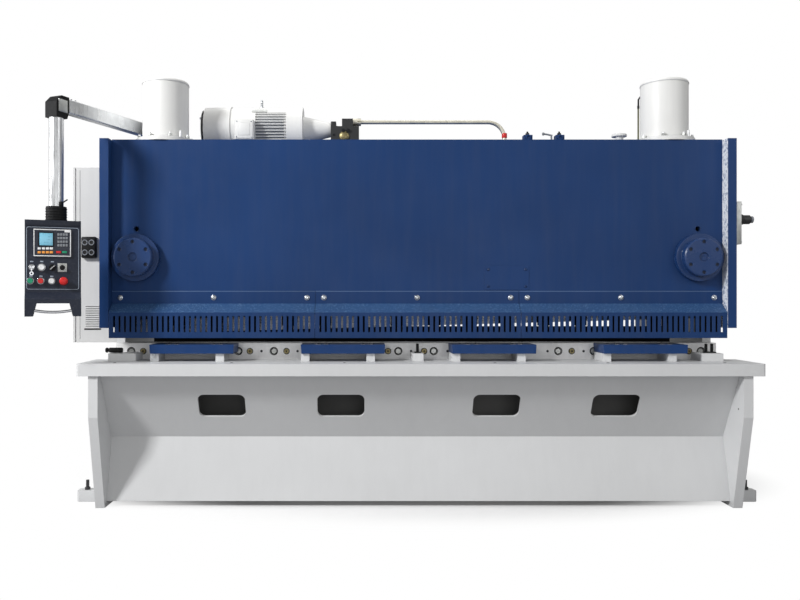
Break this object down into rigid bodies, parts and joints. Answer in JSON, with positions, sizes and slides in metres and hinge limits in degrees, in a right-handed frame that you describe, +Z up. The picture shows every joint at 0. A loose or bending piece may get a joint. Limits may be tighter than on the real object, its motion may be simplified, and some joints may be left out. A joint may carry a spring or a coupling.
{
  "type": "hydraulic guillotine shear",
  "caption": "Floor-standing hydraulic sheet metal guillotine shear with slotted guards, top cylinders, table and a pendant on a swinging arm.",
  "frame": {"origin": "on the floor, at the centre of the four anchor bolts", "axes": "+X to the machine's right, +Y to its back, +Z up"},
  "size_m": [3.885, 1.8423, 2.363],
  "materials": {
    "blue_paint": "semi gloss",
    "white_paint": "semi gloss",
    "cabinet_grey": "satin",
    "motor_white": "satin",
    "dark_steel": "oiled",
    "blade_steel": "ground",
    "ball_steel": "polished",
    "pipe_steel": "drawn",
    "valve_black": "satin",
    "arm_aluminium": "satin anodised",
    "black_plastic": "satin",
    "pendant_black": "satin",
    "handle_chrome": "polished",
    "display_plastic": "gloss",
    "button_plastic": "gloss",
    "screw_steel": "zinc plated"
  },
  "bodies": {
    "frame": {"side_frame_left": "white_paint", "side_frame_right": "white_paint", "foot_lugs": "white_paint", "table_beam": "white_paint", "lower_blade": "blade_steel", "table_plate": "white_paint", "base_panel": "white_paint", "table_blocks": "blue_paint", "block_posts": "white_paint", "ball_transfers": "ball_steel", "end_blocks": "white_paint", "front_plate": "blue_paint", "access_panel": "blue_paint", "guide_bosses": "blue_paint", "guard_left": "blue_paint", "guard_centre": "blue_paint", "guard_right": "blue_paint", "hold_down_beam": "dark_steel", "hold_down_cylinders": "dark_steel", "end_guides": "white_paint", "deck_plate": "blue_paint", "lift_cylinders": "white_paint", "oil_tank": "blue_paint", "rear_tie_beam": "white_paint", "back_gauge": "dark_steel", "motor_body": "motor_white", "motor_fan_cowl": "motor_white", "motor_terminal_box": "motor_white", "pump_bell_housing": "motor_white", "valve_block": "valve_black", "pressure_pipe": "pipe_steel", "deck_blocks": "blue_paint", "filler_cap": "motor_white", "side_valve": "valve_black", "cabinet_body": "cabinet_grey", "socket_box": "black_plastic", "arm_post": "black_plastic"},
    "blade_beam": {"blade_beam": "dark_steel", "upper_blade": "blade_steel"},
    "cabinet_door": {"cabinet_door": "cabinet_grey"},
    "support_arm": {"arm_elbows": "black_plastic", "support_arm": "arm_aluminium"},
    "pendant": {"pendant_box": "pendant_black", "pendant_collar": "black_plastic", "pendant_handle": "handle_chrome", "display_unit": "display_plastic", "control_buttons": "button_plastic"}
  },
  "joints": [
    {"name": "blade_stroke", "type": "slide", "parent": "frame", "child": "blade_beam", "axis": [0, 0, -1], "range_m": [0, 0.14]},
    {"name": "door_hinge", "type": "hinge", "parent": "frame", "child": "cabinet_door", "pos_m": [-1.989, 0.112, 1.383], "axis": [0, 0, -1], "range_deg": [0, 100]},
    {"name": "arm_swing", "type": "hinge", "parent": "frame", "child": "support_arm", "pos_m": [-1.527, -0.2205, 2.1], "axis": [0, 0, -1], "range_deg": [-5, 40]},
    {"name": "pendant_swivel", "type": "hinge", "parent": "support_arm", "child": "pendant", "pos_m": [-1.86594, -1, 1.56], "axis": [0, 0, 1], "range_deg": [-90, 90]}
  ]
}
